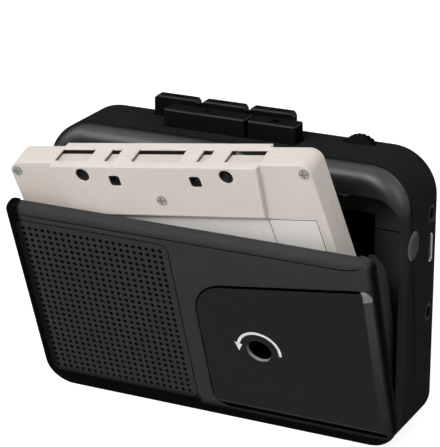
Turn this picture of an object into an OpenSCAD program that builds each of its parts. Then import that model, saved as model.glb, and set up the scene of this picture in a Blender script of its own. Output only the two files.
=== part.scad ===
// Portable cassette player with a bottom-hinged door, shown open with a cassette half inserted.
// Millimetres. X to the right, Y to the rear, Z up. The origin is the centre of the base.

/* [Body] */
// Width of the player
body_w = 118.4; // [116:0.2:124]
// Height of the player
body_h = 85.5; // [84.5:0.25:92]
// Depth of the body without the door
body_d = 26.9; // [26.5:0.1:32]
// Depth of the front half of the case
front_case_d = 12.95; // [12.5:0.05:13.4]
// Radius of the top corners
top_r = 14.1; // [9:0.1:16]
// Radius of the bottom corners
bottom_r = 9; // [8:0.25:10]
// Rounding along the front edge of the case
front_edge_r = 5; // [3:0.25:5.5]
// Rounding along the lower front edge of the case
base_edge_r = 3; // [1:0.25:3.5]
// Depth of the line between the case's sides and its front
crease_d = 0.3; // [0.2:0.05:0.5]
// Rounding along the rear edge of the case
rear_edge_r = 2.2; // [1:0.1:2.6]
// Thickness of the case walls
wall = 2; // [1.6:0.05:2.2]
// Radius of the corners of the front opening
rim_r = 8; // [4:0.5:10]
// Thickness of the plate that carries the drive
deck_t = 1.6; // [1.2:0.1:2]

/* [Door] */
// Height of the door
door_h = 71.8; // [71:0.1:72.6]
// Thickness of the door at its edges
door_t = 3.7; // [3.6:0.05:4]
// Thickness of the door behind the cassette
door_plate_t = 3.1; // [2.8:0.05:3.2]
// Rounding along the front edge of the door
door_edge_r = 2.4; // [1.5:0.1:3]
// Radius of the top corners of the door
door_top_r = 3.5; // [3.25:0.25:8]
// Gap between the closed door and the case
door_gap = 0.25; // [0.2:0.05:0.5]
// Height of the door's lower edge when closed
door_lift = 4; // [4:0.05:4.4]
// Height of the hinge above the door's lower edge
hinge_up = 5; // [4.5:0.1:5.2]
// Distance of the hinge behind the door's front face
hinge_back = 14.9; // [14.5:0.05:15.1]
// Radius of the hinge pins
hinge_pin_r = 1.5; // [1:0.1:1.7]
// Angle of the open door
open_deg = 19.8; // [17:0.1:19.8]
// Thickness of the door's side cheeks
cheek_t = 1.6; // [1.2:0.1:1.8]
// Thickness of the shelf that carries the cassette
shelf_t = 2.4; // [2:0.1:3]

/* [Grille] */
// Width of the grille plate
grille_w = 51; // [40:0.5:52]
// Height of the grille plate
grille_h = 60; // [40:0.5:61]
// Thickness of the grille plate
grille_t = 1; // [0.8:0.1:1.4]
// Gap round the grille plate
grille_gap = 0.3; // [0.1:0.05:0.5]
// Distance of the grille from the middle of the door to its right edge
grille_right = 5; // [4:0.25:6]
// Distance of the grille's lower edge above the door's lower edge
grille_up = 6.3; // [5:0.1:7]
// Spacing of the sound holes
hole_pitch = 2.19; // [2:0.01:3]
// Radius of the sound holes
hole_r = 0.62; // [0.4:0.02:0.8]

/* [Gloss panel] */
// Left edge of the panel from the middle of the door
panel_left = 0.8; // [0:0.2:3]
// Right edge of the panel from the middle of the door
panel_right = 58.1; // [50:0.1:58.2]
// Lower edge of the panel above the door's lower edge
panel_up = 5.6; // [5:0.1:9]
// Height of the panel at its right edge above the door's lower edge
panel_top = 62.3; // [58:0.1:64]
// Fall of the panel's top edge from right to left
panel_fall = 9.4; // [4:0.2:12]
// Radius of the panel's top left corner
panel_r = 11.5; // [6:0.5:14]
// Thickness of the panel
panel_t = 1.2; // [0.8:0.1:1.5]
// Height of the panel's face over the door's face
panel_proud = 0.4; // [0.2:0.05:0.6]
// Width of the bevel along the panel's right and lower edges
panel_bevel = 2.5; // [1:0.1:3]
// Radius of the reel window
window_r = 4; // [3:0.1:5]

/* [Cassette] */
// Length of the cassette
cas_w = 100.4; // [99.8:0.1:101]
// Height of the cassette
cas_h = 63.8; // [63.2:0.1:64.2]
// Thickness of the cassette
cas_t = 8.7; // [8.4:0.1:9]
// Thickness of the cassette at its tape edge
cas_thick = 12; // [11.4:0.1:12]
// Length of the thick part at the tape edge
thick_w = 69; // [64:0.5:70]
// Height of the thick part
thick_h = 17; // [15:0.5:18]
// Radius of the cassette's corners
cas_r = 3.5; // [2:0.25:4]
// Wall of the cassette's shell
cas_wall = 0.8; // [0.6:0.05:0.8]
// Spacing of the reels
reel_pitch = 42.5; // [42:0.1:43]
// Height of the reels above the lower edge of the cassette
reel_up = 29.3; // [28.5:0.1:30]
// Radius of the wound tape on the full reel
full_tape_r = 20; // [14:0.5:20.3]
// Radius of the wound tape on the other reel
less_tape_r = 14; // [11.5:0.5:20.3]
// Tilt of the half inserted cassette in the door
cas_tilt = 9.2; // [7.5:0.1:9.4]
// Height of the half inserted cassette over its seat
cas_raise = 25.6; // [25:0.1:28]
// Distance of the cassette's corner screws from its ends
cas_screw_in = 2.3; // [2.1:0.1:6]
// Distance of the cassette's corner screws from its long edges
cas_screw_down = 2.7; // [2.5:0.1:6]
// Distance of the cassette's capstan holes from its tape edge
capstan_down = 2.9; // [2.7:0.1:4.3]
// Distance of the cassette's square holes from its tape edge
pin_down = 4.8; // [4.4:0.1:6.2]
// Depth of the tape below the cassette's tape edge
tape_down = 1; // [1:0.1:2.2]
// Radius of the heads of the cassette's screws
cas_head_r = 1.5; // [1.2:0.1:1.8]
// Sideways place of the seated cassette
cas_seat_x = -1.65; // [-1.9:0.05:-1.4]
// Sideways shift of the half inserted cassette
cas_shift = -0.55; // [-0.8:0.05:-0.3]

/* [Keys] */
// Height of the front keys above the case
front_key_h = 5.4; // [4:0.1:6]
// Height of the rear keys above the case
rear_key_h = 6.3; // [5:0.1:8]
// Left end of the front keys
front_keys_left = -24; // [-26:0.25:-22]
// Width of the play key
play_key_w = 27.2; // [22:0.2:28]
// Width of the stop key
stop_key_w = 15.8; // [12:0.2:17]
// Left end of the rear keys
rear_keys_left = -32.1; // [-34:0.2:-30]
// Width of a rear key
rear_key_w = 15.2; // [13:0.1:16]
// Depth of the front keys
front_key_d = 6.4; // [5:0.1:8.8]
// Depth of the rear keys
rear_key_d = 3.6; // [3:0.1:3.8]
// Radius of the keys' upright corners
key_r = 1.1; // [0.5:0.1:1.4]
// Gap between neighbouring keys
key_gap = 0.7; // [0.5:0.05:1]
// Clearance of a key in its opening
key_clear = 0.3; // [0.2:0.05:0.4]

/* [Volume wheel] */
// Place of the wheel from the middle of the top
wheel_x = 35.7; // [34.5:0.1:38]
// Radius of the wheel
wheel_r = 6.05; // [5:0.05:6.5]
// Thickness of the wheel
wheel_t = 3; // [2:0.1:3.2]
// Height of the wheel's rim above the top
wheel_proud = 2.3; // [1.5:0.1:2.8]

/* [Sockets] */
// Depth of the sockets' centres in front of the rear face
socket_in = 5.15; // [5.1:0.05:6]
// Height of the headphone socket
phones_z = 67; // [63:0.25:68]
// Radius of the headphone socket's bore
phones_r = 1.8; // [1.75:0.05:2]
// Height of the charging port
usb_z = 56.5; // [52:0.25:58]
// Height of the audio input socket
line_z = 36; // [30:0.25:42]
// Radius of the microphone
mic_r = 1.5; // [1.2:0.1:1.6]

/* [Drive] */
// Radius of the flywheel
flywheel_r = 11; // [9:0.25:11.5]
// Radius of the capstan
capstan_r = 1; // [0.8:0.05:1.2]
// Radius of the motor pulley
pulley_r = 3; // [2.5:0.1:4]
// Radius of the motor
motor_r = 12; // [10:0.25:13]
// Radius of the spindles' drive discs
disc_r = 9.5; // [8:0.1:10]
// Radius of the spindles
spindle_r = 2.6; // [2.2:0.1:2.8]
// Travel of the play key, and of the head that it pushes to the tape
head_travel = 2.5; // [2:0.1:2.6]
// Radius of the pinch roller
pinch_r = 4; // [3.5:0.1:4.2]

/* [Hidden] */
$fn = 64;

// Small clearances
run = 0.05;
soft = 0.3;
swing = 0.35;
eps = 0.5;

// Planes of the case, from front to rear
front_y = -body_d / 2;
rear_y = body_d / 2;
split_y = front_y + front_case_d;
deck_back = split_y + deck_t;
inner_rear = rear_y - wall;
inner_w = body_w - 2 * wall;
inner_top = body_h - wall;
rim_z = door_lift + door_h + 1.2;

// Planes of the closed door
door_back_y = front_y - door_gap;
door_front_y = door_back_y - door_t;
door_inner_y = door_front_y + door_plate_t;
door_top_z = door_lift + door_h;
panel_y = door_front_y - panel_proud;
hinge_y = door_front_y + hinge_back;
hinge_z = door_lift + hinge_up;
cheek_out = inner_w / 2 - 1;
cheek_in = cheek_out - cheek_t;
hinge_ear_r = hinge_pin_r + 1.9;

// The cassette in the closed door
cas_y = door_inner_y + 0.5 + cas_thick / 2;
seat_z = door_lift + shelf_t;
hub_z = seat_z + reel_up;
tape_z = seat_z + cas_h;
hub_local = reel_up - cas_h / 2;
lip_y = cas_y + cas_t / 2 + soft;
lip_t = 1.2;
lip_back = lip_y + lip_t;
guide_gap = 0.6;
cas_screw_x = cas_w / 2 - cas_screw_in;
cas_screw_z = cas_h / 2 - cas_screw_down;
mid_screw_z = cas_h / 2 - 11.4;
cas_shank_r = 0.9;
edge_x = thick_w / 2 - 0.1;

// The drive behind the deck, from front to rear
capstan_x = cas_seat_x + 24;
capstan_z = tape_z - capstan_down;
takeup_x = cas_seat_x + reel_pitch / 2;
supply_x = cas_seat_x - reel_pitch / 2;
disc_y0 = deck_back + 2.4;
disc_y1 = disc_y0 + 2.6;
belt_y0 = disc_y1 + 1.9;
belt_y1 = belt_y0 + 2.4;
pinion_r = 4;
train_x = takeup_x - capstan_x;
train_z = hub_z - capstan_z;
train_len = sqrt(train_x * train_x + train_z * train_z);
idler_r = (train_len - pinion_r - disc_r - 2 * soft) / 2;
idler_s = (pinion_r + soft + idler_r) / train_len;
idler_x = capstan_x + train_x * idler_s;
idler_z = capstan_z + train_z * idler_s;
motor_x = -8;
motor_z = capstan_z - 4;
board_y = deck_back + 2.7;
board_t = 1.2;
board_back = board_y + board_t;
board_x0 = capstan_x + flywheel_r + 2.2;
board_x1 = inner_w / 2 - 0.6;
socket_y = rear_y - socket_in;
speaker_r = 14;
speaker_x = -inner_w / 2 + speaker_r + 0.8;
speaker_z = hub_z + 16.3;
boss_x = body_w / 2 - top_r + 1.5;
boss_z = inner_top - 3.2;
pillar_x = 50;
pillar_z = wall + 7;
screw_r = 0.9;

// Keys and the parts they push
front_key_y0 = -2.4;
front_key_y1 = front_key_y0 + front_key_d;
rear_key_y1 = inner_rear - 0.85;
rear_key_y0 = rear_key_y1 - rear_key_d;
flange_t = 1.5;
flange_top = inner_top - soft;
slide_z1 = flange_top - flange_t - soft;
slide_y1 = split_y - soft;
slide_t = 1.2;
slide_y0 = slide_y1 - slide_t;
head_tip = tape_z + head_travel - soft;
head_h = 4.2;
wheel_z = body_h + wheel_proud - wheel_r;
wheel_shaft_r = 1;
wheel_y1 = inner_rear - 1.2;
wheel_y0 = wheel_y1 - wheel_t;
roller_x = capstan_x;
roller_z = capstan_z + capstan_r + pinch_r + head_travel - soft;
arm_x = roller_x + 13;
arm_z = roller_z + 0.4;

// Draws a front-view outline as a plate between two depths
module slab(y0, y1) {
    translate([0, y1, 0])
        rotate([90, 0, 0])
            linear_extrude(y1 - y0)
                children();
}

// Draws a side-view outline as a plate between two widths
module side_slab(x0, x1) {
    translate([x0, 0, 0])
        rotate([90, 0, 90])
            linear_extrude(x1 - x0)
                children();
}

// A round bar from front to rear
module rod(x, z, r, y0, y1) {
    translate([x, y0, z])
        rotate([-90, 0, 0])
            cylinder(r = r, h = y1 - y0);
}

// A round bar from left to right
module cross_rod(x0, x1, y, z, r) {
    translate([x0, y, z])
        rotate([0, 90, 0])
            cylinder(r = r, h = x1 - x0);
}

// A plain block between two corners
module block(x0, x1, y0, y1, z0, z1) {
    translate([x0, y0, z0])
        cube([x1 - x0, y1 - y0, z1 - z0]);
}

// Front-view outline with round corners, larger or smaller at the top
module outline(w, z0, z1, rt, rb) {
    for (s = [-1, 1]) {
        translate([s * (w / 2 - rt), z1 - rt])
            circle(rt);
        translate([s * (w / 2 - rb), z0 + rb])
            circle(rb);
    }
    translate([-w / 2, z0 + rb])
        square([w, z1 - rt - z0 - rb]);
    translate([rt - w / 2, z1 - 2 * rt])
        square([w - 2 * rt, 2 * rt]);
    translate([rb - w / 2, z0])
        square([w - 2 * rb, 2 * rb]);
}

// Rectangle with round corners between two points
module round_rect(x0, x1, z0, z1, r) {
    translate([(x0 + x1) / 2, 0])
        outline(x1 - x0, z0, z1, r, r);
}

// Section through an edge of a soft slab, with its front and rear roundings
module edge_section(r, y0, y1, ef, er) {
    intersection() {
        translate([0, y0])
            square([r, y1 - y0]);
        union() {
            translate([0, y0])
                square([r - ef, ef + soft]);
            translate([0, y0 + ef])
                square([r, y1 - y0 - ef - er]);
            translate([r - ef, y0 + ef])
                circle(ef);
            if (er > 0) {
                translate([0, y1 - er - soft])
                    square([r - er, er + soft]);
                translate([r - er, y1 - er])
                    circle(er);
            }
        }
    }
}

// A slab whose outline has round corners and whose front, rear and lower front edges are rounded
module soft_slab(w, z0, z1, rt, rb, y0, y1, ef, er, eb) {
    rm = max(rt, rb);
    for (s = [-1, 1]) {
        translate([s * (w / 2 - rt), 0, z1 - rt])
            rotate([-90, 0, 0])
                rotate_extrude()
                    edge_section(rt, y0, y1, ef, er);
        translate([s * (w / 2 - rb), 0, z0 + rb])
            rotate([-90, 0, 0])
                rotate_extrude()
                    edge_section(rb, y0, y1, eb, er);
    }
    translate([0, 0, z1 - rt])
        rotate([0, -90, 0])
            linear_extrude(w - 2 * rt, center = true)
                edge_section(rt, y0, y1, ef, er);
    translate([0, 0, z0 + rb])
        rotate([0, 90, 0])
            linear_extrude(w - 2 * rb, center = true)
                edge_section(rb, y0, y1, eb, er);
    for (m = [0, 1])
        mirror([m, 0, 0])
            translate([w / 2 - rm, 0, z0 + rb])
                linear_extrude(z1 - rt - z0 - rb)
                    edge_section(rm, y0, y1, ef, er);
    block(rm - w / 2, w / 2 - rm, y0, y1, z0 + rb, z1 - rt);
}

// Turns what is drawn in the closed door to the open door
module door_pose() {
    translate([0, hinge_y, hinge_z])
        rotate([open_deg, 0, 0])
            translate([0, -hinge_y, -hinge_z])
                children();
}

// Moves what is drawn round the cassette's centre to the half inserted cassette
module cassette_pose() {
    door_pose()
        translate([cas_seat_x + cas_shift, cas_y, seat_z + cas_h / 2 + cas_raise])
            rotate([0, -cas_tilt, 0])
                children();
}

// The hollow body before it is parted
module body_shell() {
    difference() {
        soft_slab(body_w, 0, body_h, top_r, bottom_r, front_y, rear_y, front_edge_r, rear_edge_r,
            base_edge_r);
        soft_slab(inner_w, wall, inner_top, top_r - wall, bottom_r - wall, front_y + wall, inner_rear,
            front_edge_r - wall, 0, max(base_edge_r - wall, soft));
    }
}

// The openings that the keys pass through
module key_openings() {
    z0 = inner_top - eps;
    z1 = body_h + eps;
    block(front_keys_left - key_clear, front_keys_left + play_key_w + key_gap + stop_key_w + key_clear,
        front_key_y0 - key_clear, front_key_y1 + key_clear, z0, z1);
    block(rear_keys_left - key_clear, rear_keys_left + 3 * rear_key_w + 2 * key_gap + key_clear,
        rear_key_y0 - key_clear, rear_key_y1 + key_clear, z0, z1);
}

// Room that the opening door sweeps through
module door_room() {
    door_pose()
        block(-body_w, body_w, door_front_y - 30, door_back_y + swing, door_lift - 20, body_h * 2);
    door_pose()
        block(-cheek_out - swing, cheek_out + swing, door_front_y, lip_back + swing,
            door_lift - swing, hinge_z + 3);
}

// Axis of the microphone hole, square to the rounded corner
module mic_axis() {
    translate([body_w / 2 - top_r, front_y + 11.25, body_h - top_r])
        rotate([0, 34, 0])
            children();
}

// Front half of the case with the well for the door
module case_front() {
    color("#2b2b2b")
    difference() {
        union() {
            intersection() {
                difference() {
                    body_shell();
                    slab(front_y - eps, front_y + wall + eps)
                        outline(inner_w, -20, rim_z, rim_r, 1);
                    slab(front_y, front_y + front_edge_r + eps)
                        outline(inner_w, wall, rim_z, rim_r, bottom_r - wall);
                }
                block(-body_w, body_w, front_y - 1, split_y, -1, body_h + 1);
            }
            for (s = [-1, 1])
                rod(s * boss_x, boss_z, 2.4, front_y + wall - eps, split_y);
        }
        door_room();
        key_openings();
        for (s = [-1, 1]) {
            rod(s * boss_x, boss_z, screw_r + run, front_y + wall + 2, split_y + 1);
            cross_rod(min(s * (inner_w / 2 - 1), s * (inner_w / 2 + 1.2)),
                max(s * (inner_w / 2 - 1), s * (inner_w / 2 + 1.2)), hinge_y, hinge_z, hinge_pin_r + run);
        }
        thumb_scallop();
        crease();
        mic_axis()
            cylinder(r = 0.6, h = top_r + 1);
    }
}

// Fine line round the top, which runs down the sides at a slant
module crease() {
    y = front_y + front_edge_r;
    half = 0.18;
    z = body_h - top_r;
    intersection() {
        slab(y - half, y + half)
            difference() {
                outline(body_w + 2, 0, body_h + 1, top_r + 1, bottom_r);
                outline(body_w - 2 * crease_d, 0, body_h - crease_d, top_r - crease_d, bottom_r);
            }
        block(-body_w, body_w, y - 1, y + 1, z, body_h + 2);
    }
    for (m = [0, 1])
        mirror([m, 0, 0])
            side_slab(body_w / 2 - crease_d, body_w / 2 + 1)
                polygon([[y - half, z + half], [y + half, z + half], [split_y - 1 + half, z / 4],
                    [split_y - 1 - half, z / 4]]);
}

// Round hollow for the thumb on the right side
module thumb_scallop() {
    depth = 0.9;
    ball_r = 10.5;
    translate([body_w / 2 - depth + ball_r, front_y + 7, rim_z - 15.2])
        sphere(ball_r);
}

// Outlines of the three sockets in the right wall
module socket_cuts() {
    x0 = inner_w / 2 - 1;
    x1 = body_w / 2 + 1;
    cross_rod(x0, x1, socket_y, phones_z, 3 + run);
    cross_rod(x0, x1, socket_y, line_z, 3 + run);
    side_slab(x0, x1)
        usb_outline(soft / 2);
}

// Upright oval of the charging port, grown by a clearance
module usb_outline(g) {
    for (s = [-1, 1])
        translate([socket_y, usb_z + s * 2.9])
            circle(1.6 + g);
    translate([socket_y - 1.6 - g, usb_z - 2.9])
        square([3.2 + 2 * g, 5.8]);
}

// Rear half of the case
module case_rear() {
    color("#242424")
    difference() {
        union() {
            intersection() {
                body_shell();
                block(-body_w, body_w, split_y, rear_y + 1, -1, body_h + 1);
            }
            for (s = [-1, 1]) {
                rod(s * boss_x, boss_z, 2.4, deck_back, inner_rear + eps);
                rod(s * pillar_x, pillar_z, 2.8, deck_back + 4, inner_rear + eps);
            }
        }
        key_openings();
        rod(wheel_x, wheel_z, wheel_r + soft, wheel_y0 - soft, wheel_y1 + soft);
        socket_cuts();
        for (s = [-1, 1]) {
            rod(s * boss_x, boss_z, screw_r + run, deck_back - 1, rear_y + 1);
            rod(s * boss_x, boss_z, 1.9, rear_y - 2, rear_y + 1);
            rod(s * pillar_x, pillar_z, screw_r + run, deck_back, rear_y + 1);
            rod(s * pillar_x, pillar_z, 1.9, rear_y - 2, rear_y + 1);
        }
    }
}

// Plate between the cassette well and the drive
module deck_plate() {
    deck_top = rim_z + 1.4;
    color("#3a3a3c")
    difference() {
        union() {
            intersection() {
                slab(split_y, deck_back)
                    outline(inner_w - 2 * run, wall + run, inner_top, top_r - wall, bottom_r - wall);
                block(-body_w, body_w, split_y - 1, deck_back + 1, 0, deck_top);
            }
            for (s = [-1, 1]) {
                rod(s * pillar_x, pillar_z, 2.8, deck_back - eps, deck_back + 4);
                intersection() {
                    rod(s * boss_x, boss_z, 2.4, split_y, deck_back);
                    block(-body_w, body_w, split_y, deck_back, 0, inner_top);
                }
                block(s * boss_x - 2, s * boss_x + 2, split_y, deck_back, deck_top - 1, boss_z);
            }
        }
        for (x = [takeup_x, supply_x])
            rod(x, hub_z, 1.5 + run, split_y - 1, deck_back + 1);
        rod(capstan_x, capstan_z, 2.4, split_y - 1, deck_back + 1);
        rod(idler_x, idler_z, 1 + run, split_y - 1, deck_back + 1);
        rod(arm_x, arm_z, 1.2 + run, split_y - 1, deck_back + 1);
        for (s = [-1, 1]) {
            block(min(s * (cheek_in - 0.6), s * body_w), max(s * (cheek_in - 0.6), s * body_w),
                split_y - 1, deck_back + 1, 0, hinge_z + hinge_ear_r + 0.6);
            rod(s * boss_x, boss_z, screw_r + run, split_y - 1, deck_back + 1);
            rod(s * pillar_x, pillar_z, screw_r + run, split_y - 1, deck_back + 5);
            rod(cas_seat_x + s * 13.5, tape_z - pin_down, 1.2, split_y - 1, deck_back + 1);
        }
        for (i = [-3:3])
            slab(split_y - 1, deck_back + 1)
                round_rect(speaker_x + i * 3 - 0.7, speaker_x + i * 3 + 0.7,
                    speaker_z - sqrt(121 - 9 * i * i), speaker_z + sqrt(121 - 9 * i * i), 0.65);
    }
}

// Four screws put in from the rear
module case_screws() {
    color("#8c8c90")
    for (s = [-1, 1]) {
        rod(s * boss_x, boss_z, screw_r, front_y + wall + 2.4, rear_y - 2);
        rod(s * boss_x, boss_z, 1.8, rear_y - 2, rear_y - 0.8);
        rod(s * pillar_x, pillar_z, screw_r, split_y + 0.2, rear_y - 2);
        rod(s * pillar_x, pillar_z, 1.8, rear_y - 2, rear_y - 0.8);
    }
}

// Flat motor on the rear of the deck
module motor() {
    color("#9a9ca0")
    difference() {
        union() {
            rod(motor_x, motor_z, motor_r, deck_back, belt_y0 - 0.9);
            rod(motor_x, motor_z, 2, belt_y0 - 1.4, belt_y0 - 0.4);
        }
        rod(motor_x, motor_z, 0.75 + run, deck_back + 3, belt_y1);
    }
}

// Loop of the belt round one pulley pair, grown by a thickness
module belt_outline(g) {
    hull() {
        translate([motor_x, motor_z])
            circle(pulley_r + g, $fn = 48);
        translate([capstan_x, capstan_z])
            circle(flywheel_r + g, $fn = 72);
    }
}

// Flat belt from the motor pulley to the flywheel
module drive_belt() {
    color("#1a1a1a")
    slab(belt_y0 + 0.6, belt_y1 - 0.6)
        difference() {
            belt_outline(0.9);
            belt_outline(0.2);
        }
}

// Board that carries the sockets and the volume control
module circuit_board() {
    color("#2f6b3c")
    slab(board_y, board_back) {
        translate([board_x0, line_z - 8])
            square([board_x1 - board_x0, phones_z - line_z + 12]);
        translate([board_x0, line_z])
            square([wheel_x + 7 - board_x0, wheel_z - line_z]);
    }
}

// Flat rechargeable pack under the drive
module battery_pack() {
    color("#4c5a7a")
    slab(deck_back, deck_back + 5.5)
        round_rect(-44, 12, wall + 1, hub_z - disc_r - 2, 1.5);
}

// Small loudspeaker behind the sound slots of the deck
module speaker() {
    color("#202022")
    difference() {
        union() {
            rod(speaker_x, speaker_z, speaker_r, deck_back, deck_back + 2.4);
            rod(speaker_x, speaker_z, speaker_r * 0.6, deck_back + 2, deck_back + 6);
        }
        rod(speaker_x, speaker_z, speaker_r - 1.6, deck_back - 1, deck_back + 1.2);
    }
}

// Body of a round socket with its bore, seated on the board
module round_socket(z, r) {
    difference() {
        union() {
            block(inner_w / 2 - 11, inner_w / 2 - run, board_back, inner_rear - run, z - 3.2, z + 3.2);
            cross_rod(inner_w / 2 - 1, body_w / 2 - 0.2, socket_y, z, 3);
        }
        cross_rod(inner_w / 2 - 9.5, body_w / 2 + 1, socket_y, z, r);
    }
}

// Headphone socket
module headphone_jack() {
    color("#202020")
    round_socket(phones_z, phones_r);
}

// Audio input socket
module line_jack() {
    color("#1c1c1c")
    round_socket(line_z, phones_r);
}

// Charging port with its tongue
module usb_port() {
    color("#b4b6ba")
    union() {
        difference() {
            union() {
                side_slab(inner_w / 2 - 6, body_w / 2 - 0.2)
                    usb_outline(0);
                block(inner_w / 2 - 6, inner_w / 2 - 1, board_back, socket_y, usb_z - 2.5, usb_z + 2.5);
            }
            side_slab(inner_w / 2 - 5, body_w / 2 + 1)
                usb_outline(-0.4);
        }
        block(inner_w / 2 - 5.5, body_w / 2 - 1, socket_y - 0.35, socket_y + 0.35, usb_z - 3, usb_z + 3);
    }
}

// Microphone under its hole
module mic_capsule() {
    color("#a8a8aa")
    mic_axis()
        translate([0, 0, top_r - wall - 2.4])
            cylinder(r = mic_r, h = 2.2);
}

// Volume control on the board, in front of its wheel
module volume_pot() {
    color("#55585c")
    difference() {
        intersection() {
            rod(wheel_x, wheel_z, 4.2, board_back, wheel_y0 - 0.35);
            block(wheel_x - 5, wheel_x + 5, board_back, wheel_y0, wheel_z - 5, inner_top - 0.2);
        }
        rod(wheel_x, wheel_z, wheel_shaft_r + run, board_back + 0.4, wheel_y0);
    }
}

// Bearing of the capstan in the deck
module capstan_bush() {
    color("#b8a268")
    difference() {
        union() {
            rod(capstan_x, capstan_z, 2.38, split_y - 1.2, deck_back);
            rod(capstan_x, capstan_z, 3.2, deck_back, deck_back + 0.8);
        }
        rod(capstan_x, capstan_z, capstan_r + run, split_y - 2, deck_back + 2);
    }
}

// Pins that enter the cassette's square holes
module locating_pins() {
    color("#c0c2c4")
    for (s = [-1, 1]) {
        rod(cas_seat_x + s * 13.5, tape_z - pin_down, 1.18, split_y, deck_back);
        rod(cas_seat_x + s * 13.5, tape_z - pin_down, 1.6, cas_y + 1, split_y);
    }
}

// What a round corner takes away between two directions from its centre
module corner_cut(c, r, a0, a1) {
    far = 3 * r;
    mid = (a0 + a1) / 2;
    difference() {
        polygon([c, c + far * [cos(a0), sin(a0)], c + 1.6 * far * [cos(mid), sin(mid)],
            c + far * [cos(a1), sin(a1)]]);
        translate(c)
            circle(r);
    }
}

// Outline of the gloss panel, grown by a clearance
module panel_outline(g) {
    z0 = door_lift + panel_up;
    z1 = door_lift + panel_top;
    lean = atan(panel_fall / (panel_right - panel_left));
    low = 5;
    cx = panel_left + panel_r;
    cz = z1 - (panel_right - cx) * tan(lean) - panel_r / cos(lean);
    rise = g * tan(lean);
    lift = g / cos(lean);
    difference() {
        polygon([[panel_left - g, z0 - g], [panel_right + g, z0 - g], [panel_right + g, z1 + rise + lift],
            [panel_left - g, z1 - panel_fall - rise + lift]]);
        corner_cut([cx, cz], panel_r + g, 90 + lean, 180);
        corner_cut([panel_left + low, z0 + low], low + g, 180, 270);
        corner_cut([panel_right - 2, z0 + 2], 2 + g, 270, 360);
    }
}

// Outline of the grille plate, grown by a clearance
module grille_outline(g) {
    round_rect(-grille_right - grille_w - g, -grille_right + g,
        door_lift + grille_up - g, door_lift + grille_up + grille_h + g, 2.5 + g);
}

// Line that runs along the door's top edge and curves up to the right corner
module top_line() {
    z = door_top_z - 3.4;
    x = body_w / 2 - 10.2;
    r = 15.7;
    translate([-body_w, z - 0.25])
        square([body_w + x, 0.5]);
    intersection() {
        translate([x, z + r])
            difference() {
                circle(r + 0.25);
                circle(r - 0.25);
            }
        translate([x, z - 1])
            square([12, 6]);
    }
}

// Door panel with recesses for the grille and the gloss panel
module door_frame() {
    color("#343434")
    door_pose()
    difference() {
        soft_slab(body_w, door_lift, door_top_z, door_top_r, bottom_r, door_front_y, door_back_y,
            door_edge_r, 0, door_edge_r);
        block(-cheek_in, cheek_in, door_inner_y, door_back_y + 1, seat_z, door_top_z + 1);
        slab(door_front_y - 1, door_front_y + grille_t)
            grille_outline(grille_gap);
        slab(door_front_y, door_front_y + grille_t + 0.9)
            grille_outline(-2);
        slab(door_front_y - 1, panel_y + panel_t)
            panel_outline(run);
        slab(door_front_y - 1, door_front_y + 0.4)
            top_line();
        rod(takeup_x, hub_z, window_r, door_front_y - 1, door_back_y + 1);
        for (i = [0:3])
            block(-grille_right - grille_w + 6, -grille_right - 6, door_front_y, door_back_y,
                door_lift + grille_up + 6 + i * 6, door_lift + grille_up + 7.6 + i * 6);
    }
}

// Perforated plate in the door
module speaker_grille() {
    nx = floor((grille_w - 5) / hole_pitch);
    nz = floor((grille_h - 5) / hole_pitch);
    cx = -grille_right - grille_w / 2;
    cz = door_lift + grille_up + grille_h / 2;
    color("#303030")
    door_pose()
    slab(door_front_y, door_front_y + grille_t)
        difference() {
            grille_outline(0);
            for (i = [0:nx], k = [0:nz])
                translate([cx + (i - nx / 2) * hole_pitch, cz + (k - nz / 2) * hole_pitch])
                    circle(hole_r, $fn = 16);
        }
}

// Shiny panel with the window on the reel
module gloss_panel() {
    deep = panel_t - 0.15;
    low = door_lift + panel_up;
    color("#1c1c1e")
    door_pose()
    difference() {
        slab(panel_y, panel_y + panel_t)
            panel_outline(0);
        translate([0, 0, door_lift])
            linear_extrude(door_h)
                polygon([[panel_right - panel_bevel, panel_y], [panel_right - panel_bevel, panel_y - 1],
                    [panel_right + eps, panel_y - 1], [panel_right + eps, panel_y + deep],
                    [panel_right, panel_y + deep]]);
        side_slab(panel_left - 1, panel_right + 1)
            polygon([[panel_y, low + panel_bevel], [panel_y + deep, low], [panel_y + deep, low - eps],
                [panel_y - 1, low - eps], [panel_y - 1, low + panel_bevel]]);
        translate([panel_right - panel_bevel - 0.4, panel_y, door_lift + panel_top - 1])
            rotate([-35, 0, 47])
                block(-6, 6, -6, 0, -6, 6);
        rod(takeup_x, hub_z, window_r, door_front_y - 2, door_back_y);
    }
}

// Pocket on the door that guides and carries the cassette
module cassette_holder() {
    cheek_top = rim_z - rim_r + 2.5;
    left_top = door_lift + 62;
    color("#202020")
    door_pose()
    difference() {
        union() {
            side_slab(cheek_in, cheek_out)
                cheek_profile(cheek_top);
            side_slab(-cheek_out, -cheek_in)
                cheek_profile(left_top);
            block(-cheek_in - eps, cheek_in + eps, door_back_y, lip_y - 0.4, door_lift + 0.4, seat_z);
            block(-cheek_in - eps, cas_seat_x - cas_w / 2 - guide_gap, door_back_y, lip_back,
                seat_z - eps, door_lift + 45);
            block(cas_seat_x + cas_w / 2 + guide_gap, cheek_in + eps, door_back_y, lip_back,
                seat_z - eps, door_lift + 32);
            block(-cheek_in - eps, cas_seat_x - cas_w / 2 + 4, lip_y, lip_back, seat_z, door_lift + 45);
            block(cas_seat_x + cas_w / 2 - 4, cheek_in + eps, lip_y, lip_back, seat_z, door_lift + 58);
        }
        for (s = [-1, 1])
            cross_rod(s > 0 ? cheek_in - 4 : -cheek_out - 1, s > 0 ? cheek_out + 1 : -cheek_in + 4,
                hinge_y, hinge_z, hinge_pin_r + run / 2);
    }
}

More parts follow.
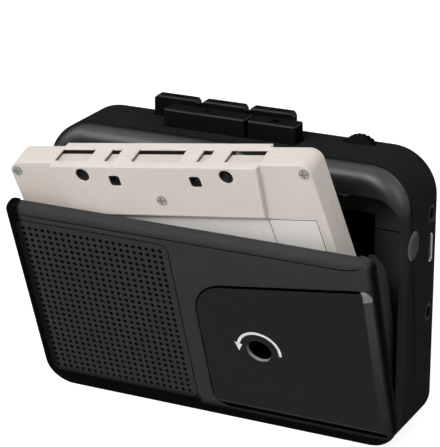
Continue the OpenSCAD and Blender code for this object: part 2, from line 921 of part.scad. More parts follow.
// Side view of a door cheek, deep below and shallow above
module cheek_profile(top) {
    polygon([[door_back_y, door_lift + 3], [lip_back, hinge_z - 3], [lip_back, door_lift + 58],
        [door_back_y + 6, top], [door_back_y, top]]);
    translate([hinge_y, hinge_z])
        circle(hinge_ear_r);
}

// Two pins that carry the door in the side walls
module hinge_pins() {
    color("#b0b2b6")
    for (s = [-1, 1])
        cross_rod(s > 0 ? cheek_in - 1 : -inner_w / 2 - 1, s > 0 ? inner_w / 2 + 1 : -cheek_in + 1,
            hinge_y, hinge_z, hinge_pin_r);
}

// Two leaf springs inside the door that press on the cassette
module holder_springs() {
    bow = cas_y - cas_t / 2 - soft - door_inner_y;
    span = 9;
    r = (span * span + bow * bow) / (2 * bow);
    color("#a9abb0")
    door_pose()
    for (x = [cas_seat_x - cas_w / 2 + 2.7, cas_seat_x + cas_w / 2 - 12.2])
        side_slab(x, x + 3)
            intersection() {
                translate([door_inner_y + bow - r, door_lift + 48])
                    difference() {
                        circle(r);
                        circle(r - 0.4);
                    }
                translate([door_inner_y, door_lift + 48 - span])
                    square([bow + 1, 2 * span]);
            }
}

// Front view of the thick part at the tape edge
module thick_outline(g) {
    top = cas_h / 2;
    polygon([[-thick_w / 2 - g, top], [thick_w / 2 + g, top], [thick_w / 2 - 2.6 + g, top - thick_h - g],
        [2.6 - thick_w / 2 - g, top - thick_h - g]]);
}

// Solid form of the cassette between two depths
module cassette_form(y0, y1) {
    slab(max(y0, -cas_t / 2), min(y1, cas_t / 2))
        outline(cas_w, -cas_h / 2, cas_h / 2, cas_r, 1.5);
    slab(y0, y1)
        thick_outline(0);
}

// Holes that pass through both halves of the cassette
module cassette_cuts() {
    top = cas_h / 2;
    for (s = [-1, 1]) {
        rod(s * reel_pitch / 2, hub_local, 5.6, -cas_thick, cas_thick);
        rod(s * 24, top - capstan_down, 2.2, -cas_thick, cas_thick);
        slab(-cas_thick, cas_thick)
            round_rect(s * 13.5 - 1.8, s * 13.5 + 1.8, top - pin_down - 1.8, top - pin_down + 1.8, 0.8);
        rod(s * cas_screw_x, cas_screw_z, cas_shank_r + run, -cas_thick, cas_thick);
        rod(s * cas_screw_x, -cas_screw_z, cas_shank_r + run, -cas_thick, cas_thick);
        block(min(s * 13.7, s * 17.2), max(s * 13.7, s * 17.2), -2.9, 2.9, top - 3, top + 1);
        block(min(s * 22.8, s * edge_x), max(s * 22.8, s * edge_x), -2.9, 2.9, top - 3, top + 1);
    }
    rod(0, mid_screw_z, cas_shank_r + run, -cas_thick, cas_thick);
    block(-8, 8, -2.9, 2.9, top - 3, top + 1);
}

// Space inside the cassette for the reels and the tape
module cassette_room() {
    top = cas_h / 2;
    difference() {
        slab(cas_wall - cas_t / 2, cas_t / 2 - cas_wall)
            round_rect(1.4 - cas_w / 2, cas_w / 2 - 1.4, 1.4 - top, top - thick_h - 1, 1);
        for (s = [-1, 1])
            rod(s * cas_screw_x, -cas_screw_z, 3, -cas_thick, cas_thick);
    }
    slab(-2.9, 2.9)
        translate([-44, top - thick_h - 2])
            square([88, thick_h - 9]);
    for (s = [-1, 1])
        slab(-2.9, 2.9)
            translate([s * 36 - 3, top - thick_h - 2])
                square([6, thick_h - 3]);
    block(-edge_x - 1, edge_x + 1, -2.9, 2.9, top - 8.4, top - 0.8);
}

// Half of the cassette's shell
module cassette_half(y0, y1) {
    difference() {
        cassette_form(y0, y1);
        difference() {
            cassette_room();
            rod(0, mid_screw_z, 2.2, -cas_thick, cas_thick);
        }
        cassette_cuts();
    }
}

// Half of the shell that faces the viewer
module cassette_half_front() {
    color("#d9cfc7")
    cassette_pose()
        difference() {
            cassette_half(-cas_thick / 2, 0);
            label_recess();
        }
}

// Half of the shell that faces the deck
module cassette_half_rear() {
    color("#d5cac1")
    cassette_pose()
        cassette_half(0, cas_thick / 2);
}

// Shallow recess for the label
module label_recess() {
    slab(-cas_t / 2 - 1, 0.2 - cas_t / 2)
        label_outline(run);
}

// Front view of the label, with the gap round the reels
module label_outline(g) {
    top = cas_h / 2;
    difference() {
        round_rect(2.6 - cas_w / 2 - g, cas_w / 2 - 2.6 + g, 7 - top - g, top - thick_h - 1.2 + g, 1.5);
        round_rect(g - reel_pitch / 2 - 8, reel_pitch / 2 + 8 - g, hub_local - 8 + g, hub_local + 8 - g, 7);
    }
}

// Paper label on the front of the cassette
module cassette_label() {
    color("#c9c9c9")
    cassette_pose()
        slab(-cas_t / 2, 0.2 - cas_t / 2)
            label_outline(0);
}

// Screw with a cross slot, through a shell of one thickness
module cassette_screw(x, z, t) {
    face = -t / 2;
    rod(x, z, cas_shank_r, face, t / 2 - 1);
    difference() {
        rod(x, z, cas_head_r, face - 0.4, face);
        block(x - 0.8 * cas_head_r, x + 0.8 * cas_head_r, face - 1, face - 0.15, z - 0.18, z + 0.18);
        block(x - 0.18, x + 0.18, face - 1, face - 0.15, z - 0.8 * cas_head_r, z + 0.8 * cas_head_r);
    }
}

// Five screws that hold the cassette's halves together
module cassette_screws() {
    color("#c4c6c8")
    cassette_pose() {
        for (sx = [-1, 1], sz = [-1, 1])
            cassette_screw(sx * cas_screw_x, sz * cas_screw_z, cas_t);
        cassette_screw(0, mid_screw_z, cas_thick);
    }
}

// Felt pad that presses the tape on the head
module pressure_pad() {
    top = cas_h / 2;
    color("#8a7348")
    cassette_pose() {
        block(-3, 3, -1.9, 1.9, top - 6, top - 3.4);
        block(-11, 11, -1.9, 1.9, top - 8.4, top - 6);
    }
}

// Strip of tape along the tape edge
module tape_run() {
    top = cas_h / 2;
    color("#cfc4ba")
    cassette_pose()
        block(-edge_x - 0.6, edge_x + 0.6, -1.9, 1.9, top - tape_down - 0.4, top - tape_down);
}

// Reel with its toothed hub and the tape wound on it
module reel(x, r) {
    hub_y = cas_t / 2 - soft;
    cassette_pose()
        translate([x, 0, hub_local]) {
            slab(-hub_y, hub_y) {
                difference() {
                    circle(5.5);
                    circle(4.8);
                }
                for (i = [0:5])
                    rotate(i * 60 + 20)
                        translate([3.6, -0.6])
                            square([1.5, 1.2]);
            }
            difference() {
                union() {
                    rod(0, 0, 10.8, -2.9, 2.9);
                    rod(0, 0, r, -1.9, 1.9);
                }
                rod(0, 0, 5.15, -cas_t, cas_t);
            }
        }
}

// Reel that gives out the tape
module supply_reel() {
    color("#e6e2dc")
    reel(-reel_pitch / 2, full_tape_r);
}

// Reel that takes up the tape
module takeup_reel() {
    color("#e6e2dc")
    reel(reel_pitch / 2, less_tape_r);
}

// Key with round upright corners and a bevelled top, and a flange that keeps it in the case
module key(x0, w, y0, y1, h, bevel, flange_y0, flange_y1) {
    top = body_h + h;
    low = flange_top - flange_t;
    difference() {
        union() {
            translate([0, 0, low])
                linear_extrude(top - low)
                    round_rect(x0, x0 + w, y0, y1, key_r);
            block(x0, x0 + w, flange_y0, flange_y1, low, flange_top);
        }
        for (m = [[x0, 1], [x0 + w, -1]])
            slab(y0 - 1, y1 + 1)
                polygon([[m[0] - m[1], top - bevel], [m[0], top - bevel], [m[0] + m[1] * bevel, top],
                    [m[0] + m[1] * bevel, top + 1], [m[0] - m[1], top + 1]]);
        side_slab(x0 - 1, x0 + w + 1)
            polygon([[y0 - 1, top - 0.4], [y0, top - 0.4], [y0 + 0.4, top], [y0 + 0.4, top + 1],
                [y0 - 1, top + 1]]);
    }
}

// Key of the front row
module front_key(x0, w) {
    key(x0, w, front_key_y0, front_key_y1, front_key_h, 0.4, front_key_y0 - 1, front_key_y1);
}

// Key of the rear row, counted from the left
module rear_key(i) {
    key(rear_keys_left + i * (rear_key_w + key_gap), rear_key_w, rear_key_y0, rear_key_y1, rear_key_h,
        1.3, rear_key_y0, rear_key_y1 + 0.7);
}

// Play key
module play_key() {
    color("#161616")
    front_key(front_keys_left, play_key_w);
}

// Stop key
module stop_key() {
    color("#161616")
    front_key(front_keys_left + play_key_w + key_gap, stop_key_w);
}

// Rewind key
module rewind_key() {
    color("#161616")
    rear_key(0);
}

// Fast forward key
module forward_key() {
    color("#161616")
    rear_key(1);
}

// Record key
module record_key() {
    color("#161616")
    rear_key(2);
}

// Thumb wheel with a notched rim and its shaft
module volume_wheel() {
    color("#141414")
    union() {
        slab(wheel_y0, wheel_y1)
            difference() {
                translate([wheel_x, wheel_z])
                    circle(wheel_r);
                for (i = [0:23])
                    translate([wheel_x + wheel_r * cos(i * 15), wheel_z + wheel_r * sin(i * 15)])
                        circle(0.3, $fn = 16);
            }
        rod(wheel_x, wheel_z, wheel_shaft_r, board_back + 0.6, wheel_y0 + eps);
    }
}

// Flywheel with the capstan and its pinion
module flywheel() {
    color("#a7a9ad")
    union() {
        rod(capstan_x, capstan_z, flywheel_r, belt_y0, belt_y1);
        rod(capstan_x, capstan_z, pinion_r, disc_y0, belt_y0 + eps);
        rod(capstan_x, capstan_z, capstan_r, cas_y - 3, disc_y0 + eps);
    }
}

// Pulley on the motor shaft
module motor_pulley() {
    color("#c9b26a")
    union() {
        rod(motor_x, motor_z, pulley_r, belt_y0, belt_y1);
        rod(motor_x, motor_z, 0.75, deck_back + 3.5, belt_y0 + eps);
    }
}

// Rubber-tyred wheel between the pinion and the take-up disc
module idler_wheel() {
    color("#26262a")
    union() {
        rod(idler_x, idler_z, idler_r, disc_y0 + 0.2, disc_y1 - 0.2);
        rod(idler_x, idler_z, 1, split_y + 0.2, disc_y0 + 0.2 + eps);
        rod(idler_x, idler_z, 2.4, deck_back + 0.1, disc_y0 + 0.2 + eps);
    }
}

// Spindle with three fins and its drive disc
module spindle(x) {
    tip = cas_y - 2.6;
    union() {
        rod(x, hub_z, disc_r, disc_y0, disc_y1);
        rod(x, hub_z, 1.5, split_y - 1, disc_y0 + eps);
        rod(x, hub_z, spindle_r, tip, split_y - 0.2);
        rod(x, hub_z, 3.4, deck_back + 0.1, disc_y0 + eps);
        for (i = [0:2])
            translate([x, 0, hub_z])
                rotate([0, i * 120, 0])
                    block(0, 4.3, tip + 1.2, cas_y + 3.6, -0.45, 0.45);
    }
}

// Spindle that turns the take-up reel
module takeup_spindle() {
    color("#d8d8da")
    spindle(takeup_x);
}

// Spindle that carries the supply reel
module supply_spindle() {
    color("#d8d8da")
    spindle(supply_x);
}

// Plate that carries the head down to the tape
module head_slide() {
    color("#a2a4a8")
    union() {
        slab(slide_y0, slide_y1)
            round_rect(cas_seat_x - 22, cas_seat_x + 16, head_tip - 1, slide_z1 - 4, 1);
        block(cas_seat_x - 8, cas_seat_x + 2, slide_y0, slide_y1, slide_z1 - 5, slide_z1);
    }
}

// Head on the slide
module play_head() {
    color("#b9bbbf")
    difference() {
        block(cas_seat_x - 6, cas_seat_x + 6, cas_y - 4, slide_y0, head_tip, head_tip + head_h);
        block(cas_seat_x - 7, cas_seat_x + 7, cas_y - 0.6, cas_y + 0.6, head_tip - 1, head_tip + 0.4);
    }
}

// Arm that swings the pinch roller to the capstan
module pinch_arm() {
    color("#9b9da1")
    union() {
        slab(slide_y0, slide_y1) {
            translate([arm_x, arm_z])
                circle(3);
            translate([roller_x, roller_z])
                circle(2.2);
            translate([roller_x, roller_z - 1.6])
                square([arm_x - roller_x, 3.2]);
        }
        rod(arm_x, arm_z, 1.2, slide_y0, deck_back - 0.2);
        rod(roller_x, roller_z, 0.9, cas_y - 2.8, slide_y0 + eps);
    }
}

// Rubber roller that presses the tape on the capstan
module pinch_roller() {
    color("#1d1d1f")
    difference() {
        rod(roller_x, roller_z, pinch_r, cas_y - 2.6, cas_y + 3.4);
        rod(roller_x, roller_z, 0.9 + run, cas_y - 5, cas_y + 5);
    }
}

case_front();
case_rear();
deck_plate();
case_screws();
motor();
drive_belt();
circuit_board();
battery_pack();
speaker();
headphone_jack();
usb_port();
line_jack();
mic_capsule();
volume_pot();
capstan_bush();
locating_pins();
door_frame();
speaker_grille();
gloss_panel();
cassette_holder();
hinge_pins();
holder_springs();
cassette_half_front();
cassette_half_rear();
cassette_screws();
cassette_label();
pressure_pad();
tape_run();
supply_reel();
takeup_reel();
play_key();
stop_key();
rewind_key();
forward_key();
record_key();
volume_wheel();
flywheel();
motor_pulley();
idler_wheel();
takeup_spindle();
supply_spindle();
head_slide();
play_head();
pinch_arm();
pinch_roller();
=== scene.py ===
from math import cos, pi, radians, sin

import bmesh
import bpy
from mathutils import Matrix, Vector


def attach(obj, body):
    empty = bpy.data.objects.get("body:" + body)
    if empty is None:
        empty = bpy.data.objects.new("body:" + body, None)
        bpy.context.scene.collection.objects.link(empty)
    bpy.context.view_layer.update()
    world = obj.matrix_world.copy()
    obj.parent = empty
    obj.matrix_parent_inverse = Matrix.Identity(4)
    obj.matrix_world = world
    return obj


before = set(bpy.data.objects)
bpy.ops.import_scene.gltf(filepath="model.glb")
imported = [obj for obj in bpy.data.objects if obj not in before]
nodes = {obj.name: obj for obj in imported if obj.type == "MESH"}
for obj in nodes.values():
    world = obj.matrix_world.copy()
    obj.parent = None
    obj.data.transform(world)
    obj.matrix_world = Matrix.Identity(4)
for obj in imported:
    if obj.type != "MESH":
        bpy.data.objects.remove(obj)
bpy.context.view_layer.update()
scene = bpy.context.scene
MM = 0.001

# Where the open door and the half inserted cassette stand
HINGE = Vector((0, -2.5, 9.0)) * MM
DOOR_OPEN = radians(19.8)
CASSETTE_TILT = radians(-9.2)
DOOR = Matrix.Translation(HINGE) @ Matrix.Rotation(DOOR_OPEN, 4, "X") @ Matrix.Translation(-HINGE)
SEAT = Matrix.Translation(Vector((-2.2, -7.8, 63.9)) * MM)
CASSETTE = DOOR @ SEAT @ Matrix.Rotation(CASSETTE_TILT, 4, "Y")

# The faces that carry print and the panel's reel window, in millimetres of the shut door and of the cassette
PANEL_FACE_Y = -17.8
LABEL_FACE_Y = -4.35
WINDOW_X, WINDOW_Z, WINDOW_REACH = 19.6, 35.7, 4.2
PRINT_RISE, PRINT_THICK = 0.03, 0.04


# Steps of arithmetic in a node tree

def sums(tree, operation, *values):
    """One step of arithmetic on sockets and numbers."""
    node = tree.nodes.new("ShaderNodeMath")
    node.operation = operation
    for value, socket in zip(values, node.inputs):
        if isinstance(value, (int, float)):
            socket.default_value = value
        else:
            tree.links.new(value, socket)
    return node.outputs[0]


def spread(tree, value, low, high, start, end):
    """Turns one range of values into another and keeps to its ends."""
    node = tree.nodes.new("ShaderNodeMapRange")
    for label, number in (("From Min", low), ("From Max", high), ("To Min", start), ("To Max", end)):
        node.inputs[label].default_value = number
    tree.links.new(value, node.inputs["Value"])
    return node.outputs["Result"]


def above(tree, value, limit):
    """One where a value passes a limit, and nought elsewhere."""
    return sums(tree, "GREATER_THAN", value, limit)


def within(tree, value, low, high):
    """One where a value lies between two numbers, and nought elsewhere."""
    return both(tree, above(tree, value, low), sums(tree, "LESS_THAN", value, high))


def near(tree, value, level, reach):
    """One where a value lies closer to a level than a reach, and nought elsewhere."""
    gap = sums(tree, "ABSOLUTE", sums(tree, "SUBTRACT", value, level))
    return sums(tree, "LESS_THAN", gap, reach)


def joined(tree, operation, masks):
    done = masks[0]
    for mask in masks[1:]:
        done = sums(tree, operation, done, mask)
    return done


def both(tree, *masks):
    """Where all the masks hold."""
    return joined(tree, "MULTIPLY", masks)


def either(tree, *masks):
    """Where one of the masks holds."""
    return joined(tree, "MAXIMUM", masks)


def axes_mm(tree, place=Matrix()):
    """The surface's place in millimetres from a piece's own place, one socket an axis."""
    spot = tree.nodes.new("ShaderNodeTexCoord")
    home = place.inverted()
    seat = tree.nodes.new("ShaderNodeMapping")
    seat.inputs["Scale"].default_value = (1 / MM, 1 / MM, 1 / MM)
    seat.inputs["Location"].default_value = home.translation / MM
    seat.inputs["Rotation"].default_value = home.to_euler()
    parts = tree.nodes.new("ShaderNodeSeparateXYZ")
    tree.links.new(spot.outputs["Object"], seat.inputs["Vector"])
    tree.links.new(seat.outputs[0], parts.inputs[0])
    return parts.outputs


def facing(tree, direction):
    """How far a surface looks along a direction, from one straight along it to nought across it."""
    place = tree.nodes.new("ShaderNodeTexCoord")
    turn = tree.nodes.new("ShaderNodeVectorMath")
    turn.operation = "DOT_PRODUCT"
    turn.inputs[1].default_value = direction
    tree.links.new(place.outputs["Normal"], turn.inputs[0])
    return turn.outputs["Value"]


def seen_plainly(tree):
    """One for what looks at the surface straight, off gloss or through glass, and nought otherwise."""
    path = tree.nodes.new("ShaderNodeLightPath")
    kinds = ("Is Camera Ray", "Is Glossy Ray", "Is Transmission Ray")
    return either(tree, *[path.outputs[kind] for kind in kinds])


# Camera, light and floor

def aim_camera():
    camera = bpy.data.objects.new("camera", bpy.data.cameras.new("camera"))
    look_down, turn_left = 19.9, 26.18
    camera.location = (0.25893, -0.5388, 0.27354)
    camera.rotation_euler = (radians(90 - look_down), 0, radians(turn_left))
    camera.data.lens = 169.2
    camera.data.sensor_width = 36
    camera.data.clip_start = 0.01
    scene.collection.objects.link(camera)
    scene.camera = camera


def softbox(name, place, target, width, height, watts, spread_deg=180):
    lamp = bpy.data.lights.new(name, "AREA")
    lamp.shape = "RECTANGLE"
    lamp.size = width
    lamp.size_y = height
    lamp.energy = watts
    lamp.spread = radians(spread_deg)
    holder = bpy.data.objects.new(name, lamp)
    holder.location = place
    holder.rotation_euler = (Vector(target) - Vector(place)).to_track_quat("-Z", "Y").to_euler()
    scene.collection.objects.link(holder)


def light_studio():
    softbox("front_top", place=(-0.08, -0.46, 0.39), target=(0, -0.04, 0.13), width=0.4, height=0.2, watts=0.37,
            spread_deg=55)
    softbox("left_box", place=(-0.6, -0.3, 0.4), target=(0, 0, 0.07), width=0.3, height=0.5, watts=1.2)
    softbox("right_box", place=(0.6, -0.2, 0.35), target=(0, 0, 0.06), width=0.3, height=0.4, watts=1.2)
    softbox("rear_fill", place=(0.15, 1.0, 0.45), target=(0, 0, 0.05), width=0.8, height=0.5, watts=4.0)
    softbox("front_fill", place=(-0.1, -1.1, 0.5), target=(0, 0, 0.05), width=0.8, height=0.5, watts=0.9)


def light_world():
    """A weak white light from all round, which looks full white where it is seen."""
    weak, full = 0.12, 1.0
    world = bpy.data.worlds.new("studio")
    scene.world = world
    world.use_nodes = True
    tree = world.node_tree
    soft = tree.nodes["Background"]
    soft.inputs["Color"].default_value = (1, 1, 1, 1)
    tree.links.new(spread(tree, seen_plainly(tree), 0, 1, weak, full), soft.inputs["Strength"])


def lay_floor():
    """White paper, made of a lit grey that takes the shadow and a plain glow."""
    half_side, paper_grey, glow = 12, 0.5, 0.84
    bm = bmesh.new()
    bmesh.ops.create_grid(bm, x_segments=1, y_segments=1, size=half_side)
    mesh = bpy.data.meshes.new("floor")
    bm.to_mesh(mesh)
    bm.free()
    floor = bpy.data.objects.new("floor", mesh)
    scene.collection.objects.link(floor)
    paper = bpy.data.materials.new("white_paper")
    paper.use_nodes = True
    tree = paper.node_tree
    tree.nodes.clear()
    out = tree.nodes.new("ShaderNodeOutputMaterial")
    lit = tree.nodes.new("ShaderNodeBsdfDiffuse")
    lit.inputs["Color"].default_value = (paper_grey, paper_grey, paper_grey, 1)
    white = tree.nodes.new("ShaderNodeEmission")
    together = tree.nodes.new("ShaderNodeAddShader")
    tree.links.new(sums(tree, "MULTIPLY", seen_plainly(tree), glow), white.inputs["Strength"])
    tree.links.new(lit.outputs[0], together.inputs[0])
    tree.links.new(white.outputs[0], together.inputs[1])
    tree.links.new(together.outputs[0], out.inputs["Surface"])
    mesh.materials.append(paper)


# Shared surface effects

def new_group(name, inputs, outputs):
    group = bpy.data.node_groups.new(name, "ShaderNodeTree")
    for label, value in inputs:
        socket = group.interface.new_socket(name=label, in_out="INPUT", socket_type="NodeSocketFloat")
        socket.default_value = value
    for label, kind in outputs:
        group.interface.new_socket(name=label, in_out="OUTPUT", socket_type=kind)
    start = group.nodes.new("NodeGroupInput")
    end = group.nodes.new("NodeGroupOutput")
    return group, start, end


def make_grain():
    """Fine texture of a moulded surface."""
    group, start, end = new_group("moulded_grain", [("Scale", 2500), ("Sharpness", 0.5)],
                                  [("Height", "NodeSocketFloat")])
    place = group.nodes.new("ShaderNodeTexCoord")
    cells = group.nodes.new("ShaderNodeTexVoronoi")
    cells.feature = "SMOOTH_F1"
    noise = group.nodes.new("ShaderNodeTexNoise")
    noise.inputs["Detail"].default_value = 3
    mix = group.nodes.new("ShaderNodeMix")
    link = group.links.new
    link(place.outputs["Object"], cells.inputs["Vector"])
    link(place.outputs["Object"], noise.inputs["Vector"])
    link(start.outputs["Scale"], cells.inputs["Scale"])
    link(start.outputs["Scale"], noise.inputs["Scale"])
    link(start.outputs["Sharpness"], mix.inputs["Factor"])
    link(noise.outputs[0], mix.inputs["A"])
    link(cells.outputs["Distance"], mix.inputs["B"])
    link(mix.outputs["Result"], end.inputs["Height"])
    return group


def make_handling():
    """Soft blotches and fine specks that handling leaves on a surface."""
    clean, marked = 0.3, 0.7
    group, start, end = new_group("handling", [("Scale", 60), ("Specks", 0.3)], [("Mask", "NodeSocketFloat")])
    place = group.nodes.new("ShaderNodeTexCoord")
    blotch = group.nodes.new("ShaderNodeTexNoise")
    blotch.inputs["Detail"].default_value = 5
    blotch.inputs["Roughness"].default_value = 0.6
    speck = group.nodes.new("ShaderNodeTexNoise")
    speck.inputs["Scale"].default_value = 1400
    speck.inputs["Detail"].default_value = 2
    mix = group.nodes.new("ShaderNodeMix")
    link = group.links.new
    link(place.outputs["Object"], blotch.inputs["Vector"])
    link(place.outputs["Object"], speck.inputs["Vector"])
    link(start.outputs["Scale"], blotch.inputs["Scale"])
    link(start.outputs["Specks"], mix.inputs["Factor"])
    link(blotch.outputs[0], mix.inputs["A"])
    link(speck.outputs[0], mix.inputs["B"])
    link(spread(group, mix.outputs["Result"], clean, marked, 0, 1), end.inputs["Mask"])
    return group


def make_edges():
    """A small rounding of every edge, and a mask of where it is."""
    group, start, end = new_group("soft_edges", [("Radius", 0.3 * MM), ("Strength", 1.5)],
                                  [("Mask", "NodeSocketFloat"), ("Normal", "NodeSocketVector")])
    round_off = group.nodes.new("ShaderNodeBevel")
    round_off.samples = 6
    shape = group.nodes.new("ShaderNodeNewGeometry")
    meet = group.nodes.new("ShaderNodeVectorMath")
    meet.operation = "DOT_PRODUCT"
    gain = group.nodes.new("ShaderNodeMath")
    gain.operation = "MULTIPLY"
    gain.use_clamp = True
    link = group.links.new
    link(start.outputs["Radius"], round_off.inputs["Radius"])
    link(round_off.outputs["Normal"], meet.inputs[0])
    link(shape.outputs["Normal"], meet.inputs[1])
    link(sums(group, "SUBTRACT", 1, meet.outputs["Value"]), gain.inputs[0])
    link(start.outputs["Strength"], gain.inputs[1])
    link(gain.outputs[0], end.inputs["Mask"])
    link(round_off.outputs["Normal"], end.inputs["Normal"])
    return group


GRAIN = make_grain()
HANDLING = make_handling()
EDGES = make_edges()


def use_group(tree, group, **values):
    node = tree.nodes.new("ShaderNodeGroup")
    node.node_tree = group
    for label, value in values.items():
        node.inputs[label].default_value = value
    return node


# Colours

def grey(level):
    return (level, level, level)


def colour(value):
    """sRGB 0-255 as linear."""
    done = []
    for c in value:
        c = c / 255
        done.append(c / 12.92 if c <= 0.04045 else ((c + 0.055) / 1.055) ** 2.4)
    return (*done, 1)


def mix_colour(tree, factor, a, b):
    mix = tree.nodes.new("ShaderNodeMix")
    mix.data_type = "RGBA"
    tree.links.new(factor, mix.inputs["Factor"])
    for value, socket in ((a, mix.inputs[6]), (b, mix.inputs[7])):
        if isinstance(value, tuple):
            socket.default_value = value
        else:
            tree.links.new(value, socket)
    return mix.outputs[2]


# Painted shade: on the door's rim and the gloss panel's border, on the walls of the grille's holes, and in the
# grooves and the case's crease
SHADE_BLACK = colour(grey(2))
HOLE_SHADE = colour(grey(3))
GROOVE_SHADE = colour(grey(4))
WELL_WALL = colour(grey(58))
# Painted highlights on the gloss panel: its bevels, fading towards the foot, its upper corner and the wall of its
# reel window
BEVEL_HIGHLIGHT_FOOT = colour(grey(8))
BEVEL_HIGHLIGHT_TOP = colour(grey(58))
CORNER_GLINT = colour(grey(132))
WINDOW_WALL_SHEEN = colour(grey(150))
CASSETTE_HOLE = colour((30, 27, 25))
# Painted light on the tops of the keys and painted highlights on their bevels
KEY_TOP_LIGHT = colour((26, 26, 25))
KEY_BEVEL_HIGHLIGHT = colour((50, 50, 49))


# Tones, among them painted light and shade, and shines that belong to one piece, in millimetres of that piece

def crease_tone(tree, plain):
    """Painted shade on the floor of the fine line that leans along the sides of the case."""
    foot_z, top_z = 17.85, 71.4
    foot_y, top_y = -1.5, -8.45
    end_z, half_width = 17.6, 0.26
    _, y, z = axes_mm(tree)
    line = spread(tree, z, foot_z, top_z, foot_y, top_y)
    mask = both(tree, near(tree, y, line, half_width), above(tree, z, end_z))
    return mix_colour(tree, mask, plain, GROOVE_SHADE)


def deck_tone(tree, plain):
    """Grey wall at the right and the top of the well, with a fine seam; elsewhere the deck's near-black, partly
    painted shade.
    """
    right_wall_x, top_wall_z = 44.8, 67.5
    seam_z, seam_half = 63.0, 0.2
    x, _, z = axes_mm(tree)
    right = above(tree, x, right_wall_x)
    wall = either(tree, right, above(tree, z, top_wall_z))
    seam = both(tree, near(tree, z, seam_z, seam_half), right)
    return mix_colour(tree, sums(tree, "SUBTRACT", wall, seam), plain, WELL_WALL)


def rim_shade(tree, plain, x, z):
    """Painted shade on the rim at the left, the foot and the right of the door, fading into the matt face."""
    left_shaded, left_matt = -54.4, -53.2
    foot_shaded, foot_matt = 10.2, 12.8
    right_matt, right_shaded = 57.4, 58.8
    grille_right, panel_drop = -4, 1.9
    left = spread(tree, x, left_shaded, left_matt, 1, 0)
    drop = sums(tree, "MULTIPLY", above(tree, x, grille_right), panel_drop)
    foot = spread(tree, sums(tree, "ADD", z, drop), foot_shaded, foot_matt, 1, 0)
    right = spread(tree, x, right_matt, right_shaded, 0, 1)
    return mix_colour(tree, either(tree, left, foot, right), plain, SHADE_BLACK)


def door_tone(tree, plain):
    """Painted shade in the grooves round the grille and the panel and along the top line, and painted shade on the
    rim.
    """
    groove_front, groove_rear = -17.2, -14.0
    half_width, foot_z, top_z = 56.6, 7.0, 73.2
    x, y, z = axes_mm(tree, DOOR)
    grooves = both(tree, within(tree, y, groove_front, groove_rear), near(tree, x, 0, half_width),
                   within(tree, z, foot_z, top_z))
    return rim_shade(tree, mix_colour(tree, grooves, plain, GROOVE_SHADE), x, z)


def grille_tone(tree, plain):
    """Painted shade on the walls of the holes behind the grille's face, and painted shade on the door's rim."""
    behind_face = -17.37
    x, y, z = axes_mm(tree, DOOR)
    return rim_shade(tree, mix_colour(tree, above(tree, y, behind_face), plain, HOLE_SHADE), x, z)


def panel_edge(tree):
    """Narrow border along the left, the round corner and the leaning top of the gloss panel, where groove shade is
    painted.
    """
    corner_x, corner_z, corner_r = 12.3, 47.13, 11.5
    top_rise, top_run, border = 9.4, 57.3, 0.4
    x, _, z = axes_mm(tree, DOOR)
    past = sums(tree, "MAXIMUM", sums(tree, "SUBTRACT", x, corner_x), 0)
    level = sums(tree, "SUBTRACT", z, sums(tree, "MULTIPLY", past, top_rise / top_run))
    across = sums(tree, "MAXIMUM", sums(tree, "SUBTRACT", corner_x, x), 0)
    upward = sums(tree, "MAXIMUM", sums(tree, "SUBTRACT", level, corner_z), 0)
    squares = sums(tree, "ADD", sums(tree, "MULTIPLY", across, across), sums(tree, "MULTIPLY", upward, upward))
    return above(tree, squares, (corner_r - border) ** 2)


def panel_shine(tree, shine):
    """No shine in the dark border of the panel."""
    return sums(tree, "MULTIPLY", shine, sums(tree, "SUBTRACT", 1, panel_edge(tree)))


def panel_tone(tree, plain):
    """Painted highlight on the bevels and the upper corner, painted sheen on the window wall, and painted groove
    shade on the border of the panel's dark face.
    """
    steep, flat = 0.5, 0.985
    foot_z, top_z = 12, 62
    glint_x, glint_z = 55.2, 62.0
    x, _, z = axes_mm(tree, DOOR)
    front = facing(tree, DOOR.to_3x3() @ Vector((0, -1, 0)))
    slope = within(tree, front, steep, flat)
    bevel = mix_colour(tree, spread(tree, z, foot_z, top_z, 0, 1), BEVEL_HIGHLIGHT_FOOT, BEVEL_HIGHLIGHT_TOP)
    tone = mix_colour(tree, panel_edge(tree), plain, SHADE_BLACK)
    tone = mix_colour(tree, slope, tone, bevel)
    corner = both(tree, slope, above(tree, x, glint_x), above(tree, z, glint_z))
    tone = mix_colour(tree, corner, tone, CORNER_GLINT)
    window = both(tree, near(tree, front, 0, steep), near(tree, x, WINDOW_X, WINDOW_REACH),
                  near(tree, z, WINDOW_Z, WINDOW_REACH))
    return mix_colour(tree, window, tone, WINDOW_WALL_SHEEN)


def shell_tone(tree, plain):
    """Shadow inside the cassette's holes and windows."""
    hole_deep, hole_out, hole_foot, hole_top = 5.7, 26.6, 25.2, 30.8
    window_deep, window_out, window_foot, window_top = 2.95, 35.5, 20.0, 31.5
    x, y, z = axes_mm(tree, CASSETTE)
    holes = both(tree, near(tree, y, 0, hole_deep), near(tree, x, 0, hole_out), within(tree, z, hole_foot, hole_top))
    windows = both(tree, near(tree, y, 0, window_deep), near(tree, x, 0, window_out),
                   within(tree, z, window_foot, window_top))
    return mix_colour(tree, either(tree, holes, windows), plain, CASSETTE_HOLE)


def key_tone(tree, plain):
    """Painted light on the tops of the keys, and paler painted highlights on the bevels round them."""
    steep, flat = 0.25, 0.95
    up = facing(tree, (0, 0, 1))
    tops = mix_colour(tree, above(tree, up, flat), plain, KEY_TOP_LIGHT)
    return mix_colour(tree, within(tree, up, steep, flat), tops, KEY_BEVEL_HIGHLIGHT)


